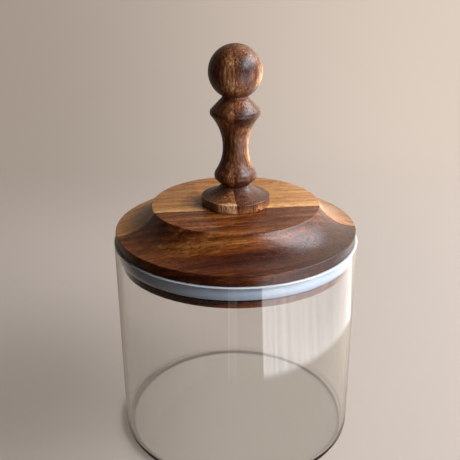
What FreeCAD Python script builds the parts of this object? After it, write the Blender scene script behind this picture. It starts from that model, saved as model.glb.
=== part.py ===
# A clear glass canister, closed by a turned wooden lid with a spindle-shaped knob.
# The jar stands on the XY plane with its axis on Z.  The lid was turned from two boards
# glued edge to edge: its flat rim rests on the glass, and its plug reaches into the jar,
# where a rubber ring in a groove grips the wall.
import FreeCAD, Part

import math
import os

# ---------------------------------------------------------------- sizes, in millimetres

# Glass jar
jar_radius = 61.0           # outside of the wall
jar_height = 107.5          # underside to rim
wall_thickness = 1.8
floor_thickness = 2.4
foot_corner = 3.2           # radius outside, between underside and wall
floor_corner = 2.2          # radius inside, between wall and floor
rim_round = 0.4             # fire-polished edges of the rim

# Lid, whose flat underside lies on the glass
glass_reveal = 1.0          # glass that shows outside the lid's edge
rim_band = 5.4              # upright edge of the lid
lid_edge_round = 0.5
cove_width = 17.9           # hollow slope, across
cove_rise = 11.6            # hollow slope, upwards
cove_hollow = 2.5           # how far the slope is hollowed below its chord

# Plug under the lid, with the groove for the ring
plug_clearance = 1.9        # between plug and glass
plug_lip = 3.35             # wood below the groove
plug_edge_round = 0.8
groove_land = 0.8           # wood left between groove and underside
groove_slack = 1.2          # height left free below the ring
groove_depth = 2.4

# Rubber ring
ring_height = 6.3
ring_glass_gap = 0.15       # to the glass, where the ring swells most
ring_seat_gap = 0.05        # to the bottom of the groove
ring_swell = 0.75           # how far its outer face bows out
ring_edge_round = 0.35

# Glue line between the two boards of the lid
glue_offset = 10.0          # in front of the axis
glue_angle = 6.6            # degrees, turned about the axis

# Knob, from its foot up to its ball
foot_radius = 16.9
foot_edge = 4.3             # upright edge of the foot
foot_top_round = 0.5
foot_base_round = 0.3
foot_rise = 5.6             # sloping top of the foot
foot_hollow = 0.9           # how far that slope is hollowed
lower_neck_radius = 6.9
bulge_rise = 3.3            # cone from the neck out to the bulge
bulge_base_radius = 10.2
bulge_side = 3.4
bulge_top_radius = 9.9
bulge_swell = 0.35
lower_waist = 12.1          # from the bulge up to the narrowest place
waist_radius = 6.15
upper_waist = 15.8          # from there up to the collar
collar_base_radius = 12.0
collar_side = 2.3
collar_top_radius = 11.95
collar_swell = 0.25
collar_rise = 5.9           # cone from the collar in to the neck
upper_neck_radius = 6.4
upper_neck = 0.8
ball_radius = 12.8

# ---------------------------------------------------------------- places

bore_radius = jar_radius - wall_thickness
lid_base = jar_height
lid_radius = jar_radius - glass_reveal
rim_top = lid_base + rim_band
lid_top = rim_top + cove_rise
plateau_radius = lid_radius - lid_edge_round - cove_width
plug_radius = bore_radius - plug_clearance
groove_top = lid_base - groove_land
groove_radius = plug_radius - groove_depth
ring_base = groove_top - ring_height
groove_base = ring_base - groove_slack
plug_base = groove_base - plug_lip
ring_inner_radius = groove_radius + ring_seat_gap
ring_face_radius = bore_radius - ring_glass_gap - ring_swell


# ---------------------------------------------------------------- outlines

def arc_bow(radius, sweep):
    """How far the middle of an arc stands off its chord; the sweep is in degrees."""
    return radius * (1 - math.cos(math.radians(sweep / 2)))


def tangent_bow(across, along):
    """Bow of an arc that leaves one end parallel to the axis and drifts across."""
    chord = math.hypot(across, along)
    return chord / 2 * math.tan(math.atan2(across, along) / 2)


def outline_edge(start, end, bow):
    """A straight edge, or an arc whose middle stands off its chord by the bow."""
    first = FreeCAD.Vector(start[0], 0, start[1])
    last = FreeCAD.Vector(end[0], 0, end[1])
    if bow == 0:
        return Part.LineSegment(first, last).toShape()
    along = (last - first).normalize()
    outward = FreeCAD.Vector(along.z, 0, -along.x)
    middle = (first + last) * 0.5 + outward * bow
    return Part.Arc(first, middle, last).toShape()


def turned(stations):
    """Solid of revolution about Z from stations of (radius, height, bow).

    The bow belongs to the edge that leaves its station.  The outline runs outwards
    along the bottom and back along the top, so a positive bow swells and a negative
    one is hollow.
    """
    edges = []
    for index, (radius, height, bow) in enumerate(stations):
        following = stations[(index + 1) % len(stations)]
        edges.append(outline_edge((radius, height), following[:2], bow))
    face = Part.Face(Part.Wire(edges))
    return face.revolve(FreeCAD.Vector(0, 0, 0), FreeCAD.Vector(0, 0, 1), 360)


# ---------------------------------------------------------------- pieces

def make_jar():
    """Straight glass cylinder with a flat floor and an open top."""
    return turned([
        (0, 0, 0),
        (jar_radius - foot_corner, 0, arc_bow(foot_corner, 90)),
        (jar_radius, foot_corner, 0),
        (jar_radius, jar_height - rim_round, arc_bow(rim_round, 90)),
        (jar_radius - rim_round, jar_height, 0),
        (bore_radius + rim_round, jar_height, arc_bow(rim_round, 90)),
        (bore_radius, jar_height - rim_round, 0),
        (bore_radius, floor_thickness + floor_corner, -arc_bow(floor_corner, 90)),
        (bore_radius - floor_corner, floor_thickness, 0),
        (0, floor_thickness, 0),
    ])


def make_lid_blank():
    """Plug, groove, flat rim, hollow slope and plateau, turned in one."""
    return turned([
        (0, plug_base, 0),
        (plug_radius - plug_edge_round, plug_base, arc_bow(plug_edge_round, 90)),
        (plug_radius, plug_base + plug_edge_round, 0),
        (plug_radius, groove_base, 0),
        (groove_radius, groove_base, 0),
        (groove_radius, groove_top, 0),
        (plug_radius, groove_top, 0),
        (plug_radius, lid_base, 0),
        (lid_radius - lid_edge_round, lid_base, arc_bow(lid_edge_round, 90)),
        (lid_radius, lid_base + lid_edge_round, 0),
        (lid_radius, rim_top - lid_edge_round, arc_bow(lid_edge_round, 90)),
        (lid_radius - lid_edge_round, rim_top, -cove_hollow),
        (plateau_radius, lid_top, 0),
        (0, lid_top, 0),
    ])


def make_lid_boards():
    """The lid blank, parted along its glue line into its front and rear boards."""
    reach = 2 * jar_radius
    front_half = Part.makeBox(2 * reach, reach, 2 * lid_top,
                              FreeCAD.Vector(-reach, -reach - glue_offset, 0))
    front_half.rotate(FreeCAD.Vector(0, 0, 0), FreeCAD.Vector(0, 0, 1), glue_angle)
    blank = make_lid_blank()
    return blank.common(front_half), blank.cut(front_half)


def make_ring():
    """Rubber ring with a flat seat, rounded edges and a swelling outer face."""
    return turned([
        (ring_inner_radius, ring_base, 0),
        (ring_face_radius - ring_edge_round, ring_base, arc_bow(ring_edge_round, 90)),
        (ring_face_radius, ring_base + ring_edge_round, ring_swell),
        (ring_face_radius, groove_top - ring_edge_round, arc_bow(ring_edge_round, 90)),
        (ring_face_radius - ring_edge_round, groove_top, 0),
        (ring_inner_radius, groove_top, 0),
    ])


def make_knob():
    """Spindle of foot, bulge, long waist, double-cone collar and ball."""
    lower_neck_height = foot_edge + foot_rise
    bulge_base = lower_neck_height + bulge_rise
    bulge_top = bulge_base + bulge_side
    waist_height = bulge_top + lower_waist
    collar_base = waist_height + upper_waist
    collar_top = collar_base + collar_side
    upper_neck_base = collar_top + collar_rise
    ball_start = upper_neck_base + upper_neck
    ball_drop = math.sqrt(ball_radius ** 2 - upper_neck_radius ** 2)
    ball_sweep = 90 + math.degrees(math.atan2(ball_drop, upper_neck_radius))
    knob = turned([
        (0, 0, 0),
        (foot_radius - foot_base_round, 0, arc_bow(foot_base_round, 90)),
        (foot_radius, foot_base_round, 0),
        (foot_radius, foot_edge - foot_top_round, arc_bow(foot_top_round, 90)),
        (foot_radius - foot_top_round, foot_edge, -foot_hollow),
        (lower_neck_radius, lower_neck_height, 0),
        (bulge_base_radius, bulge_base, bulge_swell),
        (bulge_top_radius, bulge_top, -tangent_bow(bulge_top_radius - waist_radius, lower_waist)),
        (waist_radius, waist_height, -tangent_bow(collar_base_radius - waist_radius, upper_waist)),
        (collar_base_radius, collar_base, collar_swell),
        (collar_top_radius, collar_top, 0),
        (upper_neck_radius, upper_neck_base, 0),
        (upper_neck_radius, ball_start, arc_bow(ball_radius, ball_sweep)),
        (0, ball_start + ball_drop + ball_radius, 0),
    ])
    knob.translate(FreeCAD.Vector(0, 0, lid_top))
    return knob


def main():
    lid_front_board, lid_rear_board = make_lid_boards()
    pieces = {
        "glass_jar": make_jar(),
        "lid_front_board": lid_front_board,
        "lid_rear_board": lid_rear_board,
        "seal_ring": make_ring(),
        "knob": make_knob(),
    }
    os.makedirs("parts", exist_ok=True)
    for name, shape in pieces.items():
        shape.exportStep("parts/" + name + ".step")
        print(name, "volume", round(shape.Volume), "mm3, solids", len(shape.Solids), shape.isValid())


main()
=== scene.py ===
"""Looks of a clear glass canister with a turned two-board wooden lid and a spindle knob."""

import math

import bmesh
import bpy
from mathutils import Matrix, Vector


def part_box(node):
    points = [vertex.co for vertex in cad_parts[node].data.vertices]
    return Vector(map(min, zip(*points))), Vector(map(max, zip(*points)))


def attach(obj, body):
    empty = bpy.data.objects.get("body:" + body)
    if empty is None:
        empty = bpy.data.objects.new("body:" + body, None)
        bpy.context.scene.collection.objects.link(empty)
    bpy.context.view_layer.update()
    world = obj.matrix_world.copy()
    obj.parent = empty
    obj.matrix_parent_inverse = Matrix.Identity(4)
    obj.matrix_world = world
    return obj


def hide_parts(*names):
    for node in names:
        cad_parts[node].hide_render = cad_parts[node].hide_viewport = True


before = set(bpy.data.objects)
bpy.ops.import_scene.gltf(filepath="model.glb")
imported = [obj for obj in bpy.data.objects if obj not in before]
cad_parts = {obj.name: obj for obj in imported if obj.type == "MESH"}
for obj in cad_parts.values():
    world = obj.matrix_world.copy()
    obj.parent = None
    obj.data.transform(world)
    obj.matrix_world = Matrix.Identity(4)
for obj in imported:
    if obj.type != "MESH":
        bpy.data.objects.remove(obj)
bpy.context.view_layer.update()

MM = 0.001

# ------------------------------------------------------------------ sizes, in metres

# Places taken from the frame
jar_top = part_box("glass_jar")[1]
JAR_RADIUS = jar_top.x
JAR_HEIGHT = jar_top.z
lid_low, lid_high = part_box("lid_rear_board")
LID_RADIUS = lid_high.x
LID_TOP = lid_high.z
PLUG_BASE = lid_low.z
ring_low, ring_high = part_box("seal_ring")
RING_OUTER = ring_high.x
knob_low, knob_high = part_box("knob")
FOOT_RADIUS = knob_high.x

# Jar
WALL = 1.8 * MM
FLOOR = 2.4 * MM
FOOT_CORNER = 3.2 * MM
FLOOR_CORNER = 2.2 * MM
RIM_ROUND = 0.4 * MM

# Lid
RIM_BAND = 5.4 * MM
LID_EASE = 0.5 * MM
COVE_WIDTH = 17.9 * MM
COVE_HOLLOW = 2.5 * MM
PLATEAU_EASE = 0.12 * MM
PLATEAU_ROUND = 0.03 * MM
PLUG_CLEARANCE = 1.9 * MM
PLUG_EASE = 0.8 * MM
GROOVE_DEPTH = 2.4 * MM
GROOVE_SLACK = 1.2 * MM
GLUE_OFFSET = 10.0 * MM
GLUE_ANGLE = math.radians(6.6)
FRONT_GRAIN_TILT = math.radians(4)

# Sealing ring
RING_SEAT = 0.05 * MM
RING_EASE = 0.35 * MM
RING_SWELL = 0.75 * MM

# Turning: facets round a piece, flat runs beside a bend, and the middle disc as a share of the radius
ROUND_STEPS = 256
KNOB_STEPS = 128
FLAT_RUN = 2 * MM
RIM_RUN = 1 * MM
BASE_DISC = 0.3
PLUG_DISC = 0.4
PLATEAU_DISC = 0.6
FOOT_DISC = 0.4
WELD = 0.001 * MM

# Camera and stage
CAMERA_BACK = 328.3 * MM
CAMERA_HEIGHT = 244.5 * MM
CAMERA_DOWN = math.radians(22.35)
CAMERA_TURN = math.radians(0.5)
CAMERA_ROLL = math.radians(0.32)
CAMERA_LENS = 54.75
FILM_WIDTH = 36
NEAR_CLIP = 0.01
BACKDROP_BACK = 0.75
STAGE_REACH = 3.0
STAGE_GAP = 0.1 * MM
SWEEP_ROUND = 0.30
SWEEP_STEPS = 24
SWEEP_RISE = 0.35

# Colours of the stage: seen straight on, seen through glass, and as the floor bounces light
FLOOR_COLOUR = (0.37, 0.315, 0.27)
FLOOR_THROUGH = (0.30, 0.252, 0.214)
FLOOR_BOUNCE = (0.13, 0.095, 0.07)
BACKDROP_COLOUR = (0.58, 0.49, 0.42)
FLOOR_FADE = (0.20, 0.75)

# The room far off: its faint light, and its colour on the left and towards the window
ROOM_LIGHT = (0.055, 0.050, 0.045)
ROOM_LEFT = (0.37, 0.305, 0.255)
ROOM_RIGHT = (0.74, 0.63, 0.535)
ROOM_TURN = (-0.5, 0.5)

# How bright gloss shows the stage: dim in front, full behind, and brighter towards the window
MIRROR_FRONT = (-0.16, 0.0)
MIRROR_SPREAD = 0.5
MIRROR_DIM = 0.08
MIRROR_RIGHT = (0.03, 0.30)
MIRROR_OUTSIDE = (0.55, 2.2)
MIRROR_INSIDE = 0.22

# Bright ground by the window, which only gloss shows: azimuths from the back towards the right
GLOW_START = (math.radians(50), math.radians(54))
GLOW_END = (math.radians(159.5), math.radians(158.5))
GLOW_REACH = (0.145, 0.155)
GLOW_COLOUR = (0.96, 0.97, 1.0)
GLOW_LEVEL = 3.8
GLOW_FADE = (math.radians(70), math.radians(150))
GLOW_FADED = 0.28
GLOW_STREAKS = 14.0
GLOW_STREAKED = 0.75
GLOW_SLITS = (
    (math.radians(180.0), math.radians(0.5), 0.14),
    (math.radians(185.5), math.radians(0.5), 0.14),
    (math.radians(183.0), math.radians(3.4), 0.05),
)

# Lamps: their loss in second reflections, and how little of their low and back parts gloss shows
LAMP_AGAIN_LOSS = 0.9
SHINE_LOSS = 0.85
SHINE_BACK = (0.65, 0.15)
SHINE_BACK_LEFT = 0.45

# Figure of the wood: the middle span of a noise, how the grain wanders, and the scale of each part
NOISE_SPAN = (0.3, 0.7)
MIDDLE_TONE = 0.4
LATE_WOOD_START = (0.15, 0.92)
LATE_WOOD_END = (1.0, 0.93)
LEAST_LAYER = 0.2
ZONE_FADE = (1.0, 0.25)
GRAIN_WANDER = ((0.45, 1, 1), 0.035, 5.0)
FIBRE_WANDER = ((0.3, 1, 1), 0.22, 0.8)
LONG_GRAIN = (0.05, 1, 1)
SHORT_GRAIN = (0.45, 1, 1)
BAND_SCALE = 0.22
STREAK_SCALE = 1.1
MOTTLE_SCALE = 0.35
PORE_SCALE = 1.7
PORE_EDGE = (0.54, 0.64)
PORE_PATCHES = (0.35, 0.6, 0.45, 1.0)
PORE_COVER = 0.8

# Oil finish of the wood
WOOD_ROUGHNESS = 0.25
WOOD_GLOSS = 0.36
STREAK_ROUGHNESS = 0.14
PORE_ROUGHNESS = 0.12
STREAK_RELIEF = 0.5
RELIEF_DEPTH = 0.1 * MM

# Sapwood wedge of the knob, in millimetres
SEAM_PLACE = 2.6
SEAM_SLANT = 0.2
SEAM_WOBBLE = 0.3
SEAM_EDGE = (-0.15, 0.15)
SEAM_LINE_START = (-0.9, -0.1)
SEAM_LINE_END = (0.15, 0.0)
SAPWOOD_SLOPE = 0.555
SAPWOOD_EDGE = (-5.6, -7.4)
SAPWOOD_TONE = 0.17
SAPWOOD_RIM = (-13.4, -15.8)
SAPWOOD_RIM_TONE = 0.42
SEAM_TONE = 0.16
HEARTWOOD_SIDE = (0.1, -0.6)
HEARTWOOD_HEIGHT = (150.0, 136.0)

# Glass and rubber
GLASS_IOR = 1.47
FOOT_RING_SHADE = (0.48, 0.48, 0.47, 1)
WALL_SHADE = (0.97, 0.975, 0.97, 1)
RUBBER_CLOUD_SCALE = 160.0


# ------------------------------------------------------------------ outlines

def arc_bow(radius, sweep):
    """How far the middle of an arc stands off its chord; the sweep is in degrees."""
    return radius * (1 - math.cos(math.radians(sweep / 2)))


def tangent_bow(across, along):
    """Bow of an arc that leaves one end parallel to the axis and drifts across."""
    return math.hypot(across, along) / 2 * math.tan(math.atan2(across, along) / 2)


def bowed(start, end, bow, steps):
    """Points after the start along an arc whose middle stands off its chord by the bow."""
    start, end = Vector(start), Vector(end)
    chord = end - start
    outward = Vector((chord.y, -chord.x)).normalized()
    half = chord.length / 2
    radius = (half * half + bow * bow) / (2 * abs(bow))
    side = math.copysign(1, bow)
    centre = (start + end) / 2 + outward * (bow - side * radius)
    sweep = 2 * math.asin(half / radius)
    if abs(bow) > half:
        sweep = 2 * math.pi - sweep
    points = []
    for step in range(1, steps + 1):
        turn = Matrix.Rotation(side * sweep * step / steps, 2)
        points.append(tuple(centre + turn @ (start - centre)))
    return points


def outline(stations, arc_steps=8):
    """Points of an outline from (radius, height, bow) stations; the bow leaves its station."""
    points = [stations[0][:2]]
    for here, following in zip(stations, stations[1:]):
        if here[2] == 0:
            points.append(following[:2])
        else:
            points += bowed(here[:2], following[:2], here[2], arc_steps)
    return points


# ------------------------------------------------------------------ modelling

def deselect():
    """Leaves nothing selected, so that an operator acts on its own piece alone."""
    bpy.ops.object.select_all(action="DESELECT")


def extrude_to(radius, height, new_radius, new_height):
    """Lifts a new loop or disc off the selected one and scales it to its station."""
    bpy.ops.mesh.extrude_region_move(
        TRANSFORM_OT_translate={"value": (0, 0, new_height - height)})
    ratio = new_radius / radius
    bpy.ops.transform.resize(value=(ratio, ratio, 1), center_override=(0, 0, new_height))


def turned(name, points, steps):
    """A solid turned about the upright axis, extruded from a disc through its outline."""
    deselect()
    radius, height = points[0]
    bpy.ops.mesh.primitive_circle_add(
        vertices=steps, radius=radius, fill_type="NGON", location=(0, 0, height))
    piece = bpy.context.object
    piece.name = name
    bpy.ops.object.transform_apply(location=True, rotation=True, scale=True)
    bpy.ops.object.mode_set(mode="EDIT")
    bpy.ops.mesh.select_all(action="SELECT")
    for new_radius, new_height in points[1:]:
        extrude_to(radius, height, new_radius, new_height)
        radius, height = new_radius, new_height
    bpy.ops.mesh.select_all(action="SELECT")
    bpy.ops.mesh.normals_make_consistent(inside=False)
    bpy.ops.object.mode_set(mode="OBJECT")
    return piece


def turned_ring(name, points, steps):
    """A closed ring: a loop extruded round its section and bridged to where it began."""
    deselect()
    radius, height = points[0]
    bpy.ops.mesh.primitive_circle_add(
        vertices=steps, radius=radius, fill_type="NOTHING", location=(0, 0, height))
    piece = bpy.context.object
    piece.name = name
    bpy.ops.object.transform_apply(location=True, rotation=True, scale=True)
    bpy.ops.object.mode_set(mode="EDIT")
    bpy.ops.mesh.select_all(action="SELECT")
    for new_radius, new_height in points[1:] + points[:1]:
        extrude_to(radius, height, new_radius, new_height)
        radius, height = new_radius, new_height
    bpy.ops.mesh.select_all(action="SELECT")
    bpy.ops.mesh.remove_doubles(threshold=WELD)
    bpy.ops.mesh.normals_make_consistent(inside=False)
    bpy.ops.object.mode_set(mode="OBJECT")
    return piece


def select_edges(piece, wanted):
    """Selects, in edit mode, the edges whose middle is in the wanted place."""
    mesh = bmesh.from_edit_mesh(piece.data)
    for edge in mesh.edges:
        edge.select_set(wanted((edge.verts[0].co + edge.verts[1].co) / 2))
    bmesh.update_edit_mesh(piece.data)


def smooth(piece, angle=30):
    """Shades the faces smooth, except across edges sharper than the angle."""
    deselect()
    piece.select_set(True)
    bpy.context.view_layer.objects.active = piece
    bpy.ops.object.shade_smooth_by_angle(angle=math.radians(angle))


def keep_side(piece, place, normal):
    """Cuts a piece on a plane, keeps what lies behind the normal and closes the cut."""
    deselect()
    piece.select_set(True)
    bpy.context.view_layer.objects.active = piece
    bpy.ops.object.mode_set(mode="EDIT")
    bpy.ops.mesh.select_all(action="SELECT")
    bpy.ops.mesh.bisect(plane_co=place, plane_no=normal, use_fill=True, clear_outer=True)
    bpy.ops.object.mode_set(mode="OBJECT")


def copy_of(piece, name):
    """A second piece with a mesh of its own."""
    deselect()
    piece.select_set(True)
    bpy.context.view_layer.objects.active = piece
    bpy.ops.object.duplicate()
    twin = bpy.context.object
    twin.name = name
    return twin


def finish_piece(piece, node, material):
    """Gives a piece its finish and puts it in the place of its CAD node."""
    piece.data.materials.clear()
    piece.data.materials.append(material)
    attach(piece, "root")
    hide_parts(node)


# ------------------------------------------------------------------ pieces

def make_jar():
    """Straight glass wall on a flat base with rounded corners, and a fire-rounded rim."""
    bore = JAR_RADIUS - WALL
    inner_floor = bore - FLOOR_CORNER
    points = outline([
        (JAR_RADIUS * BASE_DISC, 0, 0),
        (JAR_RADIUS - FOOT_CORNER - FLAT_RUN, 0, 0),
        (JAR_RADIUS - FOOT_CORNER, 0, arc_bow(FOOT_CORNER, 90)),
        (JAR_RADIUS, FOOT_CORNER, 0),
        (JAR_RADIUS, FOOT_CORNER + FLAT_RUN, 0),
        (JAR_RADIUS, JAR_HEIGHT - RIM_ROUND - RIM_RUN, 0),
        (JAR_RADIUS, JAR_HEIGHT - RIM_ROUND, arc_bow(RIM_ROUND, 90)),
        (JAR_RADIUS - RIM_ROUND, JAR_HEIGHT, 0),
        (bore + RIM_ROUND, JAR_HEIGHT, arc_bow(RIM_ROUND, 90)),
        (bore, JAR_HEIGHT - RIM_ROUND, 0),
        (bore, JAR_HEIGHT - RIM_ROUND - RIM_RUN, 0),
        (bore, FLOOR + FLOOR_CORNER + FLAT_RUN, 0),
        (bore, FLOOR + FLOOR_CORNER, -arc_bow(FLOOR_CORNER, 90)),
        (inner_floor, FLOOR, 0),
        (inner_floor - FLAT_RUN, FLOOR, 0),
        (JAR_RADIUS * BASE_DISC, FLOOR, 0),
    ])
    jar = turned("glass_wall", points, ROUND_STEPS)
    smooth(jar)
    return jar


def make_lid_blank():
    """The whole lid, turned as one: plug with a groove, rim band, hollow cove and flat top."""
    bore = JAR_RADIUS - WALL
    plug = bore - PLUG_CLEARANCE
    groove = plug - GROOVE_DEPTH
    groove_top = ring_high.z
    groove_base = ring_low.z - GROOVE_SLACK
    rim_top = JAR_HEIGHT + RIM_BAND
    plateau = LID_RADIUS - LID_EASE - COVE_WIDTH
    points = outline([
        (plug * PLUG_DISC, PLUG_BASE, 0),
        (plug - PLUG_EASE, PLUG_BASE, arc_bow(PLUG_EASE, 90)),
        (plug, PLUG_BASE + PLUG_EASE, 0),
        (plug, groove_base - LID_EASE / 2, arc_bow(LID_EASE / 2, 90)),
        (plug - LID_EASE / 2, groove_base, 0),
        (groove, groove_base, 0),
        (groove, groove_top, 0),
        (plug, groove_top, 0),
        (plug, JAR_HEIGHT, 0),
        (LID_RADIUS - LID_EASE, JAR_HEIGHT, arc_bow(LID_EASE, 90)),
        (LID_RADIUS, JAR_HEIGHT + LID_EASE, 0),
        (LID_RADIUS, rim_top - LID_EASE, arc_bow(LID_EASE, 90)),
        (LID_RADIUS - LID_EASE, rim_top, 0),
    ], 6)
    cove_top = (plateau + PLATEAU_EASE, LID_TOP - PLATEAU_EASE)
    points += bowed(points[-1], cove_top, -COVE_HOLLOW, 28)
    points += bowed(points[-1], (plateau - PLATEAU_EASE, LID_TOP), PLATEAU_ROUND, 3)
    points.append((plateau * PLATEAU_DISC, LID_TOP))
    return turned("lid_blank", points, ROUND_STEPS)


def make_lid_boards():
    """The lid blank parted at the glue line into its front and rear boards."""
    toward_rear = Vector((-math.sin(GLUE_ANGLE), math.cos(GLUE_ANGLE), 0))
    glue_line = -toward_rear * GLUE_OFFSET
    front = make_lid_blank()
    rear = copy_of(front, "lid_rear_wood")
    front.name = "lid_front_wood"
    keep_side(front, glue_line, toward_rear)
    keep_side(rear, glue_line, -toward_rear)
    smooth(front)
    smooth(rear)
    return front, rear


def make_ring():
    """A rubber ring in the plug's groove, its face softly swollen towards the glass."""
    inner = JAR_RADIUS - WALL - PLUG_CLEARANCE - GROOVE_DEPTH + RING_SEAT
    low, high = ring_low.z, ring_high.z
    face = RING_OUTER - RING_SWELL
    points = outline([
        (inner, low, 0),
        (face - RING_EASE, low, arc_bow(RING_EASE, 90)),
        (face, low + RING_EASE, RING_SWELL),
        (face, high - RING_EASE, arc_bow(RING_EASE, 90)),
        (face - RING_EASE, high, 0),
        (inner, high, 0),
    ], 14)
    ring = turned_ring("seal_rubber", points, ROUND_STEPS)
    smooth(ring, 40)
    return ring


def make_knob():
    """Spindle of foot, bulge, long waist, double-cone collar and ball."""
    base_ease = 0.3 * MM
    foot_edge = 4.3 * MM
    foot_ease = 0.5 * MM
    foot_dish = 0.9 * MM
    bulge_swell = 0.35 * MM
    collar_swell = 0.25 * MM
    lower_neck = (6.9 * MM, 9.9 * MM)
    bulge_base = (10.2 * MM, 13.2 * MM)
    bulge_top = (9.9 * MM, 16.6 * MM)
    waist = (6.15 * MM, 28.7 * MM)
    collar_base = (12.0 * MM, 44.5 * MM)
    collar_top = (11.95 * MM, 46.8 * MM)
    upper_neck = (6.4 * MM, 52.7 * MM)
    ball_start = (6.4 * MM, 53.5 * MM)
    ball_radius = 12.8 * MM
    pole = 0.25 * MM
    height = knob_high.z - knob_low.z
    drop = math.sqrt(ball_radius ** 2 - ball_start[0] ** 2)
    sweep = 90 + math.degrees(math.atan2(drop, ball_start[0])) - math.degrees(pole / ball_radius)
    sections = [
        ((FOOT_RADIUS * FOOT_DISC, 0), 0, 1),
        ((FOOT_RADIUS - base_ease, 0), arc_bow(base_ease, 90), 4),
        ((FOOT_RADIUS, base_ease), 0, 1),
        ((FOOT_RADIUS, foot_edge - foot_ease), arc_bow(foot_ease, 90), 6),
        ((FOOT_RADIUS - foot_ease, foot_edge), -foot_dish, 14),
        (lower_neck, 0, 1),
        (bulge_base, bulge_swell, 8),
        (bulge_top, -tangent_bow(bulge_top[0] - waist[0], waist[1] - bulge_top[1]), 14),
        (waist, -tangent_bow(collar_base[0] - waist[0], collar_base[1] - waist[1]), 18),
        (collar_base, collar_swell, 8),
        (collar_top, 0, 1),
        (upper_neck, 0, 1),
        (ball_start, arc_bow(ball_radius, sweep), 36),
        ((pole, height), 0, 1),
    ]
    points = [sections[0][0]]
    for (here, bow, steps), following in zip(sections, sections[1:]):
        if bow == 0:
            points.append(following[0])
        else:
            points += bowed(here, following[0], bow, steps)
    points = [(radius, knob_low.z + rise) for radius, rise in points]
    knob = turned("knob_wood", points, KNOB_STEPS)
    smooth(knob, 32)
    return knob


# ------------------------------------------------------------------ materials

def add_node(tree, kind, inputs=(), **settings):
    """Adds a node, sets its settings, and fills its inputs with values or sockets."""
    node = tree.nodes.new(kind)
    for key, value in settings.items():
        setattr(node, key, value)
    for key, value in dict(inputs).items():
        if isinstance(value, bpy.types.NodeSocket):
            tree.links.new(value, node.inputs[key])
        else:
            node.inputs[key].default_value = value
    return node


def new_material(name):
    """An empty material and its node tree."""
    material = bpy.data.materials.new(name)
    material.use_nodes = True
    material.node_tree.nodes.clear()
    return material, material.node_tree


def math_of(tree, operation, first, second=0.0, third=0.0, clamp=False):
    """One sum on up to three values."""
    node = add_node(tree, "ShaderNodeMath", {0: first, 1: second, 2: third},
                    operation=operation, use_clamp=clamp)
    return node.outputs[0]


def stretched(tree, vector, scale):
    """The coordinates scaled by a different share each way."""
    node = add_node(tree, "ShaderNodeVectorMath", {0: vector, 1: scale}, operation="MULTIPLY")
    return node.outputs[0]


def from_axis(tree, place):
    """How far a place is from the upright axis."""
    flat = stretched(tree, place, (1, 1, 0))
    return add_node(tree, "ShaderNodeVectorMath", {0: flat}, operation="LENGTH").outputs["Value"]


def noise_of(tree, vector, scale, detail=2.0, roughness=0.5):
    """A noise's value and its colour."""
    node = add_node(tree, "ShaderNodeTexNoise",
                    {"Vector": vector, "Scale": scale, "Detail": detail, "Roughness": roughness})
    return node.outputs["Fac"], node.outputs["Color"]


def ranged(tree, value, low, high, out_low=0.0, out_high=1.0):
    """The value eased from one range into another and held at its ends."""
    node = add_node(tree, "ShaderNodeMapRange",
                    {"Value": value, "From Min": low, "From Max": high,
                     "To Min": out_low, "To Max": out_high}, interpolation_type="SMOOTHSTEP")
    return node.outputs["Result"]


def ramp(tree, value, stops):
    """Colours along a value, from (place, colour) stops."""
    node = add_node(tree, "ShaderNodeValToRGB", {"Fac": value})
    elements = node.color_ramp.elements
    while len(elements) < len(stops):
        elements.new(0.5)
    for element, (place, colour) in zip(elements, stops):
        element.position = place
        element.color = (*colour, 1)
    return node.outputs["Color"]


def blend_colour(tree, share, first, second):
    """The first colour turned into the second by the share."""
    node = add_node(tree, "ShaderNodeMix", data_type="RGBA")
    for socket, value in ((node.inputs[0], share), (node.inputs[6], first), (node.inputs[7], second)):
        if isinstance(value, bpy.types.NodeSocket):
            tree.links.new(value, socket)
        else:
            socket.default_value = value
    return node.outputs[2]


def at_most_one(tree, value):
    """A count of bounces as 0 or 1."""
    return math_of(tree, "MINIMUM", value, 1.0)


def inverted(tree, share):
    """What a share leaves of the whole."""
    return math_of(tree, "SUBTRACT", 1.0, share)


def shaded_by(tree, shader):
    """Ends the tree in its shader."""
    out = add_node(tree, "ShaderNodeOutputMaterial")
    tree.links.new(shader.outputs[0], out.inputs["Surface"])


def mixed(tree, share, first, second):
    """The first shader turned into the second by the share."""
    mix = add_node(tree, "ShaderNodeMixShader", {0: share})
    tree.links.new(first.outputs[0], mix.inputs[1])
    tree.links.new(second.outputs[0], mix.inputs[2])
    return mix


def grain_space(tree, turn):
    """Coordinates in millimetres with X along the grain."""
    place = add_node(tree, "ShaderNodeTexCoord").outputs["Object"]
    mapped = add_node(tree, "ShaderNodeMapping",
                      {"Vector": place, "Scale": (1000, 1000, 1000), "Rotation": turn})
    return mapped.outputs[0]


def wavy(tree, vector, stretch, scale, reach):
    """The coordinates pushed about by a slow noise, as grain wanders."""
    pushed = noise_of(tree, stretched(tree, vector, stretch), scale, 1.0)[1]
    centred = add_node(tree, "ShaderNodeVectorMath", {0: pushed, 1: (0.5, 0.5, 0.5)},
                       operation="SUBTRACT").outputs[0]
    return add_node(tree, "ShaderNodeVectorMath", {0: centred, 1: (reach, reach, reach), 2: vector},
                    operation="MULTIPLY_ADD").outputs[0]


def swing(tree, noise, depth):
    """A noise as a change of tone, up and down by the depth."""
    return ranged(tree, noise, *NOISE_SPAN, -depth, depth)


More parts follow.
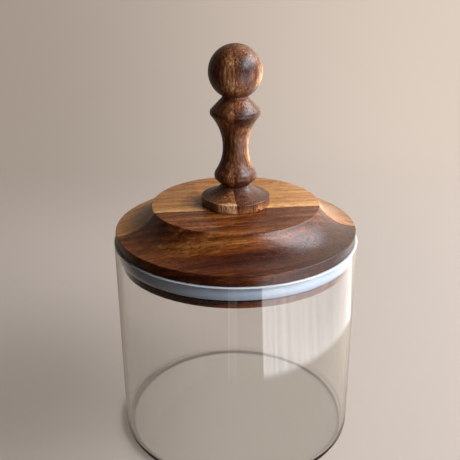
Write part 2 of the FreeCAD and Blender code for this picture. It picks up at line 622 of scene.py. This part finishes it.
def growth_layers(tree, grain, heart, width):
    """Layers round the tree's heart: pale early wood darkens to a thin late line, each to its own depth."""
    across = add_node(tree, "ShaderNodeVectorMath", {0: grain, 1: (0, *heart)}, operation="SUBTRACT")
    flat = stretched(tree, across.outputs[0], (0, 1, 1))
    from_heart = add_node(tree, "ShaderNodeVectorMath", {0: flat}, operation="LENGTH").outputs["Value"]
    count = math_of(tree, "DIVIDE", from_heart, width)
    part = math_of(tree, "FRACT", count)
    depth = add_node(tree, "ShaderNodeTexWhiteNoise", {"W": math_of(tree, "FLOOR", count)},
                     noise_dimensions="1D").outputs["Value"]
    line = math_of(tree, "MULTIPLY", ranged(tree, part, *LATE_WOOD_START),
                   ranged(tree, part, *LATE_WOOD_END))
    strength = math_of(tree, "MULTIPLY_ADD", depth, 1 - LEAST_LAYER, LEAST_LAYER)
    return math_of(tree, "MULTIPLY", line, strength)


def streak_zone(tree, grain, place, reach, along):
    """A long soft-edged zone inside the board: 1 at its middle, 0 past its reach across or along."""
    middle = ((along[0] + along[1]) / 2, *place)
    size = ((along[1] - along[0]) / 2, *reach)
    off = add_node(tree, "ShaderNodeVectorMath", {0: grain, 1: middle}, operation="SUBTRACT").outputs[0]
    share = add_node(tree, "ShaderNodeVectorMath", {0: off, 1: size}, operation="DIVIDE").outputs[0]
    away = add_node(tree, "ShaderNodeVectorMath", {0: share}, operation="LENGTH").outputs["Value"]
    return ranged(tree, away, *ZONE_FADE)


def wood(name, turn, heart, layer_width, zones, tones, pore_tone, figure, seam=None):
    """Oiled acacia: growth layers, zones of tone, fibre streaks, short pores and a soft mottle."""
    material, tree = new_material(name)
    grain = grain_space(tree, turn)
    wander = wavy(tree, grain, *GRAIN_WANDER)
    fine = wavy(tree, wander, *FIBRE_WANDER)
    layers = growth_layers(tree, fine, heart, layer_width)
    layer_depth = figure["layers"]
    tone = math_of(tree, "MULTIPLY_ADD", layers, -layer_depth, MIDDLE_TONE + layer_depth / 2)
    bands = noise_of(tree, stretched(tree, wander, LONG_GRAIN), BAND_SCALE, 2.0, 0.6)[0]
    tone = math_of(tree, "ADD", tone, swing(tree, bands, figure["bands"]))
    streaks = noise_of(tree, stretched(tree, fine, LONG_GRAIN), STREAK_SCALE, 4.0, 0.72)[0]
    tone = math_of(tree, "ADD", tone, swing(tree, streaks, figure["streaks"]))
    for place, reach, along, amount in zones:
        zone = streak_zone(tree, fine, place, reach, along)
        tone = math_of(tree, "MULTIPLY_ADD", zone, amount, tone)
    if seam:
        tone = seam(tree, grain, tone)
    mottle = noise_of(tree, stretched(tree, fine, SHORT_GRAIN), MOTTLE_SCALE, 2.0, 0.6)[0]
    tone = math_of(tree, "ADD", tone, swing(tree, mottle, figure["mottle"]), clamp=True)
    colour = ramp(tree, tone, tones)
    pore_grain = stretched(tree, fine, (1 / figure["pore_length"], 1, 1))
    pores = noise_of(tree, pore_grain, PORE_SCALE, 1.0, 0.5)[0]
    pore_mask = math_of(tree, "MULTIPLY", ranged(tree, pores, *PORE_EDGE),
                        ranged(tree, mottle, *PORE_PATCHES))
    cover = math_of(tree, "MULTIPLY", pore_mask, PORE_COVER)
    colour = blend_colour(tree, cover, colour, (*pore_tone, 1))
    smoothest = WOOD_ROUGHNESS - STREAK_ROUGHNESS / 2
    rough = math_of(tree, "MULTIPLY_ADD", streaks, STREAK_ROUGHNESS, smoothest)
    rough = math_of(tree, "MULTIPLY_ADD", pore_mask, PORE_ROUGHNESS, rough)
    ridges = math_of(tree, "MULTIPLY", streaks, STREAK_RELIEF)
    relief = math_of(tree, "MULTIPLY_ADD", pore_mask, -1.0, ridges)
    bump = add_node(tree, "ShaderNodeBump",
                    {"Height": relief, "Strength": figure["relief"], "Distance": RELIEF_DEPTH})
    shaded_by(tree, add_node(tree, "ShaderNodeBsdfPrincipled",
                             {"Base Color": colour, "Roughness": rough, "Normal": bump.outputs[0],
                              "Specular IOR Level": WOOD_GLOSS}))
    return material


def knob_seam(tree, grain, tone):
    """The knob's own figure: pale sapwood at the front left, cut off by a crisp dark seam."""
    parts = add_node(tree, "ShaderNodeSeparateXYZ", {0: grain})
    height, back, left = parts.outputs
    side = math_of(tree, "MULTIPLY_ADD", back, -SEAM_SLANT, left)
    wobble = noise_of(tree, stretched(tree, grain, (0.12, 1, 1)), 1.6, 2.0)[0]
    side = math_of(tree, "ADD", math_of(tree, "SUBTRACT", side, SEAM_PLACE),
                   swing(tree, wobble, SEAM_WOBBLE))
    depth = math_of(tree, "MULTIPLY_ADD", left, SAPWOOD_SLOPE, back)
    pale = math_of(tree, "MULTIPLY", ranged(tree, side, *SEAM_EDGE), ranged(tree, depth, *SAPWOOD_EDGE))
    tone = math_of(tree, "MULTIPLY_ADD", pale, SAPWOOD_TONE, tone)
    rim = math_of(tree, "MULTIPLY", pale, ranged(tree, back, *SAPWOOD_RIM))
    tone = math_of(tree, "MULTIPLY_ADD", rim, SAPWOOD_RIM_TONE, tone)
    line = math_of(tree, "MULTIPLY", ranged(tree, side, *SEAM_LINE_START),
                   ranged(tree, side, *SEAM_LINE_END))
    tone = math_of(tree, "MULTIPLY_ADD", line, -SEAM_TONE, tone)
    dark = math_of(tree, "MULTIPLY", ranged(tree, side, *HEARTWOOD_SIDE),
                   ranged(tree, height, *HEARTWOOD_HEIGHT))
    return math_of(tree, "MULTIPLY_ADD", dark, -SEAM_TONE, tone)


def clear_glass():
    """Nearly colourless glass that lets light through to what it holds, a little less at its foot ring."""
    material, tree = new_material("clear_glass_gloss")
    glass = add_node(tree, "ShaderNodeBsdfPrincipled",
                     {"Base Color": (0.985, 0.99, 0.985, 1), "Roughness": 0.0, "IOR": GLASS_IOR,
                      "Transmission Weight": 1.0})
    place = add_node(tree, "ShaderNodeTexCoord").outputs["Object"]
    height = add_node(tree, "ShaderNodeSeparateXYZ", {0: place}).outputs[2]
    low = ranged(tree, height, FOOT_CORNER, FOOT_CORNER / 2)
    bend = JAR_RADIUS - FOOT_CORNER
    outer = ranged(tree, from_axis(tree, place), bend - FLAT_RUN, bend)
    shade = blend_colour(tree, math_of(tree, "MULTIPLY", low, outer), WALL_SHADE, FOOT_RING_SHADE)
    through = add_node(tree, "ShaderNodeBsdfTransparent", {"Color": shade})
    path = add_node(tree, "ShaderNodeLightPath")
    soft = mixed(tree, path.outputs["Is Diffuse Ray"], glass, through)
    shaded_by(tree, mixed(tree, path.outputs["Is Shadow Ray"], soft, through))
    return material


def painted_highlight_rim_glass():
    """The fire-rounded rim as opaque pale glass: a painted highlight that stands in for the light real
    glass gathers along its wall and shows as a pale line.
    """
    material, tree = new_material("rim_glass_painted_highlight")
    shaded_by(tree, add_node(tree, "ShaderNodeBsdfPrincipled",
                             {"Base Color": (0.50, 0.54, 0.55, 1), "Roughness": 0.12, "IOR": GLASS_IOR,
                              "Specular IOR Level": 0.6}))
    return material


def clear_rubber():
    """Smooth translucent sealing rubber with a faint bluish cast."""
    material, tree = new_material("clear_rubber_smooth")
    place = add_node(tree, "ShaderNodeTexCoord").outputs["Object"]
    cloud = noise_of(tree, place, RUBBER_CLOUD_SCALE, 2.0)[0]
    colour = ramp(tree, cloud, [(0.3, (0.345, 0.41, 0.52)), (0.7, (0.41, 0.475, 0.59))])
    rough = math_of(tree, "MULTIPLY_ADD", cloud, 0.12, 0.16)
    shaded_by(tree, add_node(tree, "ShaderNodeBsdfPrincipled",
                             {"Base Color": colour, "Roughness": rough, "Subsurface Weight": 0.25,
                              "Subsurface Scale": 1.5 * MM}))
    return material


# ------------------------------------------------------------------ stage

def seen_share(tree, path):
    """1 for what the camera sees straight on or through glass, 0 for light that bounces."""
    straight = math_of(tree, "MAXIMUM", path.outputs["Is Camera Ray"], path.outputs["Is Transmission Ray"])
    through = math_of(tree, "MULTIPLY", at_most_one(tree, path.outputs["Transmission Depth"]),
                      inverted(tree, path.outputs["Is Diffuse Ray"]))
    return math_of(tree, "MAXIMUM", straight, through)


def surround_colour(tree, place):
    """The pale room far off: dimmer on the left and brighter towards the window."""
    toward = add_node(tree, "ShaderNodeVectorMath", {0: place}, operation="NORMALIZE").outputs[0]
    side = add_node(tree, "ShaderNodeSeparateXYZ", {0: toward}).outputs[0]
    return blend_colour(tree, ranged(tree, side, *ROOM_TURN), (*ROOM_LEFT, 1), (*ROOM_RIGHT, 1))


def stage_paint(tree, bounced, through, rise):
    """Matt paint: pale as seen, a little deeper through glass, and dim in the light it bounces."""
    floor = blend_colour(tree, through, (*FLOOR_COLOUR, 1), (*FLOOR_THROUGH, 1))
    pale = blend_colour(tree, rise, floor, (*BACKDROP_COLOUR, 1))
    dim = blend_colour(tree, rise, (*FLOOR_BOUNCE, 1), (*BACKDROP_COLOUR, 1))
    return add_node(tree, "ShaderNodeBsdfDiffuse", {"Color": blend_colour(tree, bounced, pale, dim)})


def room_level(tree, right, back, mirrored, through):
    """How bright the far room looks: full to the camera, and by the place that gloss shows."""
    backward = math_of(tree, "MULTIPLY_ADD", math_of(tree, "ABSOLUTE", right), -MIRROR_SPREAD, back)
    behind = ranged(tree, backward, *MIRROR_FRONT, MIRROR_DIM, 1.0)
    outside = math_of(tree, "MULTIPLY", behind, ranged(tree, right, *MIRROR_RIGHT, *MIRROR_OUTSIDE))
    inside = math_of(tree, "MAXIMUM", behind, MIRROR_INSIDE)
    level = ranged(tree, through, 0.0, 1.0, outside, inside)
    return ranged(tree, mirrored, 0.0, 1.0, 1.0, level)


def window_patch(tree, right, back, reach):
    """The lit ground by the window: an uneven wedge that fades to one side, with thin slits beside it."""
    azimuth = math_of(tree, "ARCTAN2", right, back)
    azimuth = math_of(tree, "FLOORED_MODULO", azimuth, 2 * math.pi)
    patch = math_of(tree, "MULTIPLY", ranged(tree, azimuth, *GLOW_START), ranged(tree, azimuth, *GLOW_END))
    uneven = add_node(tree, "ShaderNodeTexNoise", {"W": azimuth, "Scale": GLOW_STREAKS, "Detail": 3.0},
                      noise_dimensions="1D").outputs["Fac"]
    patch = math_of(tree, "MULTIPLY", patch, ranged(tree, uneven, *NOISE_SPAN, GLOW_STREAKED, 1.0))
    patch = math_of(tree, "MULTIPLY", patch, ranged(tree, azimuth, *GLOW_FADE, GLOW_FADED, 1.0))
    for middle, half, level in GLOW_SLITS:
        off = math_of(tree, "ABSOLUTE", math_of(tree, "SUBTRACT", azimuth, middle))
        patch = math_of(tree, "ADD", patch, ranged(tree, off, half, half / 2, 0.0, level))
    return math_of(tree, "MULTIPLY", patch, ranged(tree, reach, *GLOW_REACH))


def stage_material():
    """Plain pale paint that fades into the room far off, and the window's ground that only gloss shows."""
    material, tree = new_material("stage_plain")
    path = add_node(tree, "ShaderNodeLightPath")
    mirrored = at_most_one(tree, path.outputs["Glossy Depth"])
    through = at_most_one(tree, path.outputs["Transmission Depth"])
    bounced = path.outputs["Is Diffuse Ray"]
    place = add_node(tree, "ShaderNodeTexCoord").outputs["Object"]
    right, back, height = add_node(tree, "ShaderNodeSeparateXYZ", {0: place}).outputs
    reach = from_axis(tree, place)
    rise = ranged(tree, height, 0.0, SWEEP_RISE)
    paint = stage_paint(tree, bounced, through, rise)
    far_off = add_node(tree, "ShaderNodeEmission",
                       {"Color": surround_colour(tree, place),
                        "Strength": room_level(tree, right, back, mirrored, through)})
    distance = math_of(tree, "MULTIPLY", seen_share(tree, path), ranged(tree, reach, *FLOOR_FADE))
    shown = math_of(tree, "MULTIPLY", mirrored, inverted(tree, bounced))
    plain = mixed(tree, math_of(tree, "MAXIMUM", distance, shown), paint, far_off)
    glow = add_node(tree, "ShaderNodeEmission", {"Color": (*GLOW_COLOUR, 1), "Strength": GLOW_LEVEL})
    patch = math_of(tree, "MULTIPLY", window_patch(tree, right, back, reach), inverted(tree, rise))
    shaded_by(tree, mixed(tree, math_of(tree, "MULTIPLY", patch, mirrored), plain, glow))
    return material


def make_stage():
    """Floor and backdrop in one sweep: the floor's back edge is raised and its corner rounded."""
    deselect()
    middle = (0, BACKDROP_BACK - STAGE_REACH, -STAGE_GAP)
    bpy.ops.mesh.primitive_plane_add(size=2 * STAGE_REACH, location=middle)
    sweep = bpy.context.object
    sweep.name = "floor_and_backdrop"
    bpy.ops.object.transform_apply(location=True, rotation=True, scale=True)
    bpy.ops.object.mode_set(mode="EDIT")
    bpy.ops.mesh.select_all(action="DESELECT")
    bpy.ops.mesh.select_mode(type="EDGE")
    select_edges(sweep, lambda place: place.y > BACKDROP_BACK - MM)
    bpy.ops.mesh.extrude_region_move(TRANSFORM_OT_translate={"value": (0, 0, STAGE_REACH)})
    bpy.ops.mesh.select_all(action="DESELECT")
    select_edges(sweep, lambda place: place.y > BACKDROP_BACK - MM and place.z < MM)
    bpy.ops.mesh.bevel(offset=SWEEP_ROUND, segments=SWEEP_STEPS)
    bpy.ops.object.mode_set(mode="OBJECT")
    sweep.data.materials.append(stage_material())
    smooth(sweep, 60)


def lamp_level(tree, shine):
    """The lamp's strength: whole as direct light, weaker in second reflections and low down or behind."""
    path = add_node(tree, "ShaderNodeLightPath")
    mirrored = at_most_one(tree, path.outputs["Glossy Depth"])
    through = at_most_one(tree, path.outputs["Transmission Depth"])
    twice = math_of(tree, "SUBTRACT", path.outputs["Glossy Depth"], 1.0, clamp=True)
    again = math_of(tree, "MAXIMUM", twice, math_of(tree, "MULTIPLY", mirrored, through))
    level = math_of(tree, "MULTIPLY_ADD", again, -LAMP_AGAIN_LOSS, 1.0)
    place = add_node(tree, "ShaderNodeNewGeometry").outputs["Position"]
    parts = add_node(tree, "ShaderNodeSeparateXYZ", {0: place})
    kept = math_of(tree, "MULTIPLY", ranged(tree, parts.outputs[2], *shine),
                   ranged(tree, parts.outputs[1], *SHINE_BACK, SHINE_BACK_LEFT, 1.0))
    lost = math_of(tree, "MULTIPLY", mirrored,
                   math_of(tree, "MULTIPLY_ADD", kept, -SHINE_LOSS, SHINE_LOSS))
    return math_of(tree, "MULTIPLY", level, inverted(tree, lost))


def add_lamp(name, size, power, azimuth, elevation, distance, colour, shine):
    """A soft box aimed at the lid; azimuth runs from the back towards the right."""
    lamp = bpy.data.lights.new(name, "AREA")
    lamp.shape = "RECTANGLE"
    lamp.size, lamp.size_y = size
    lamp.energy = power
    lamp.color = colour
    around, up = math.radians(azimuth), math.radians(elevation)
    toward = Vector((math.sin(around) * math.cos(up), math.cos(around) * math.cos(up), math.sin(up)))
    holder = bpy.data.objects.new(name, lamp)
    holder.location = Vector((0, 0, JAR_HEIGHT)) + toward * distance
    holder.rotation_euler = toward.to_track_quat("Z", "Y").to_euler()
    bpy.context.scene.collection.objects.link(holder)
    lamp.use_nodes = True
    tree = lamp.node_tree
    tree.links.new(lamp_level(tree, shine), tree.nodes["Emission"].inputs["Strength"])


def make_lights():
    """A large soft window on the right, a weak low one beside it, and the room's faint light."""
    add_lamp("window", size=(2.0, 0.85), power=58, azimuth=92, elevation=33, distance=1.2,
             colour=(0.93, 0.97, 1.03), shine=(0.45, 0.90))
    add_lamp("low_window", size=(1.1, 0.20), power=2.8, azimuth=118, elevation=2, distance=0.75,
             colour=(0.97, 0.97, 1.0), shine=(0.3, 0.4))
    world = bpy.data.worlds.new("soft_room")
    bpy.context.scene.world = world
    world.use_nodes = True
    tree = world.node_tree
    path = add_node(tree, "ShaderNodeLightPath")
    toward = add_node(tree, "ShaderNodeTexCoord").outputs["Generated"]
    colour = blend_colour(tree, seen_share(tree, path), (*ROOM_LIGHT, 1), surround_colour(tree, toward))
    tree.links.new(colour, tree.nodes["Background"].inputs["Color"])


def make_camera():
    """The camera in front of the canister, raised and looking down on it."""
    camera = bpy.data.cameras.new("camera")
    camera.lens = CAMERA_LENS
    camera.sensor_width = FILM_WIDTH
    camera.clip_start = NEAR_CLIP
    holder = bpy.data.objects.new("camera", camera)
    turn = (Matrix.Rotation(CAMERA_TURN, 4, "Z") @ Matrix.Rotation(-CAMERA_DOWN, 4, "X")
            @ Matrix.Rotation(CAMERA_ROLL, 4, "Y") @ Matrix.Rotation(math.pi / 2, 4, "X"))
    holder.matrix_world = Matrix.Translation((0, -CAMERA_BACK, CAMERA_HEIGHT)) @ turn
    bpy.context.scene.collection.objects.link(holder)
    bpy.context.scene.camera = holder


# ------------------------------------------------------------------ the canister

# Tones of each board from dark to pale, and of its pores
front_tones = [(0.0, (0.024, 0.005, 0.002)), (0.3, (0.060, 0.012, 0.003)), (0.55, (0.13, 0.031, 0.005)),
               (0.8, (0.24, 0.080, 0.017)), (1.0, (0.34, 0.140, 0.039))]
rear_tones = [(0.0, (0.155, 0.050, 0.012)), (0.35, (0.33, 0.132, 0.035)),
              (0.65, (0.50, 0.232, 0.073)), (1.0, (0.68, 0.370, 0.142))]
knob_tones = [(0.0, (0.022, 0.007, 0.003)), (0.3, (0.075, 0.021, 0.008)), (0.55, (0.165, 0.055, 0.019)),
              (0.8, (0.36, 0.152, 0.058)), (1.0, (0.66, 0.36, 0.19))]
front_pores = (0.015, 0.004, 0.002)
rear_pores = (0.12, 0.042, 0.014)
knob_pores = (0.02, 0.006, 0.003)

# Zones of tone, in millimetres: middle across the grain, reach each way, stretch along the grain, amount.
# Some of them are painted light or shade, as marked.
# Across the grain is back and up in the boards, and back and left in the knob, whose grain runs up.
knob_zones = [
    ((-12, -5), (9, 4.5), (183, 203), -0.30),
    # Partly paler wood, partly a painted highlight: the ball's lower right, on the window side
    ((-4, -14), (13, 6), (170, 198), 0.60),
    ((-13, -2.5), (7, 6), (172, 193), 0.32),
    ((-13, 4.5), (8, 7), (173, 194), 0.12),
    # Painted shade: darker round the neck between the collar and the ball
    ((0, 0), (11, 11), (167, 178), -0.26),
    ((-6, -5), (14, 11), (163, 176), -0.30),
    # Partly paler wood, partly a painted highlight: the flare under the collar on its front right
    ((-8, -9), (12, 9), (159, 165.5), 0.24),
    ((-8, -2), (9, 7), (152, 163), 0.10),
    # Partly paler wood, partly a painted highlight: a pale strip down the waist's right side, on the window
    # side
    ((-1, -7.5), (10, 3.6), (140, 165), 0.85),
    # Partly paler wood, partly a painted highlight: the foot's rim on its front right, where its edge
    # catches the window
    ((-12, -9), (16, 15), (118.5, 129.7), 0.42),
    ((-6, -15), (16, 10), (125, 139), -0.16),
    # Painted shade: darker round the neck between the foot and the bulge
    ((0, 0), (10, 10), (129, 139), -0.20),
]

# Painted shadow: a dark line just under the seal ring, all the way round the plug, where the ring shades
# the wood
painted_ring_shadow = ((0, (ring_low.z - GROOVE_SLACK) / MM - 0.4), (200, 1.0), (-400, 400), -0.6)

front_zones = [
    # The painted shadow under the seal ring
    painted_ring_shadow,
    ((-43, 121), (11, 9), (-85, 35), 0.26),
    ((-54, 116), (22, 5), (-75, 100), -0.34),
    ((-36, 108), (46, 15), (-5, 130), -0.46),
    ((-31.7, 124.5), (1.0, 5), (-90, 60), 0.22),
    ((-29.5, 124.5), (1.6, 5), (-40, 80), -0.10),
    ((-12, 124.5), (5, 8), (-80, 5), -0.06),
    ((-20, 126), (24, 3.5), (-95, 95), 0.12),
    # Partly the board's own deeper tone, partly painted shade: the rim band darker at the front and left,
    # away from the window
    ((-60, 109.5), (44, 4.5), (-130, 60), -0.26),
    # Painted shade: the plug below the seal ring darker at the front and left, away from the window
    ((-50, 102.5), (60, 6), (-120, 50), -0.40),
]
rear_zones = [
    # The painted shadow under the seal ring
    painted_ring_shadow,
    ((-10, 124.5), (5.5, 8), (-200, 200), 0.26),
    ((-14.6, 124.5), (1.0, 8), (-200, 200), -0.22),
    ((30, 122), (22, 16), (-90, 60), -0.14),
    ((8, 115), (34, 16), (24, 100), -0.36),
]

# How far each part of the figure moves the tone, the length of the pores, and the depth of the relief
front_figure = {"layers": 0.34, "bands": 0.10, "streaks": 0.16, "mottle": 0.06,
                "pore_length": 3.4, "relief": 0.3}
rear_figure = {"layers": 0.34, "bands": 0.12, "streaks": 0.17, "mottle": 0.05,
               "pore_length": 7.0, "relief": 0.3}
knob_figure = {"layers": 0.12, "bands": 0.08, "streaks": 0.22, "mottle": 0.08,
               "pore_length": 3.0, "relief": 0.8}

make_camera()
make_stage()
make_lights()

bpy.context.scene.view_settings.view_transform = "Standard"

# How each piece is turned to lay its grain along X
along_rear = (0, 0, -GLUE_ANGLE)
along_front = (0, FRONT_GRAIN_TILT, -GLUE_ANGLE)
along_knob = (0, math.radians(90), 0)
front_wood = wood("front_board_oiled", along_front, (-70, 20), 3.6, front_zones, front_tones,
                  front_pores, front_figure)
rear_wood = wood("rear_board_oiled", along_rear, (60, 40), 3.2, rear_zones, rear_tones,
                 rear_pores, rear_figure)
knob_wood = wood("knob_oiled", along_knob, (22, 9), 2.6, knob_zones, knob_tones,
                 knob_pores, knob_figure, knob_seam)

jar = make_jar()
finish_piece(jar, "glass_jar", clear_glass())
# The rim's faces take the painted highlight glass
jar.data.materials.append(painted_highlight_rim_glass())
for face in jar.data.polygons:
    if face.center.z > JAR_HEIGHT - RIM_ROUND:
        face.material_index = 1
front_board, rear_board = make_lid_boards()
finish_piece(front_board, "lid_front_board", front_wood)
finish_piece(rear_board, "lid_rear_board", rear_wood)
finish_piece(make_ring(), "seal_ring", clear_rubber())
finish_piece(make_knob(), "knob", knob_wood)
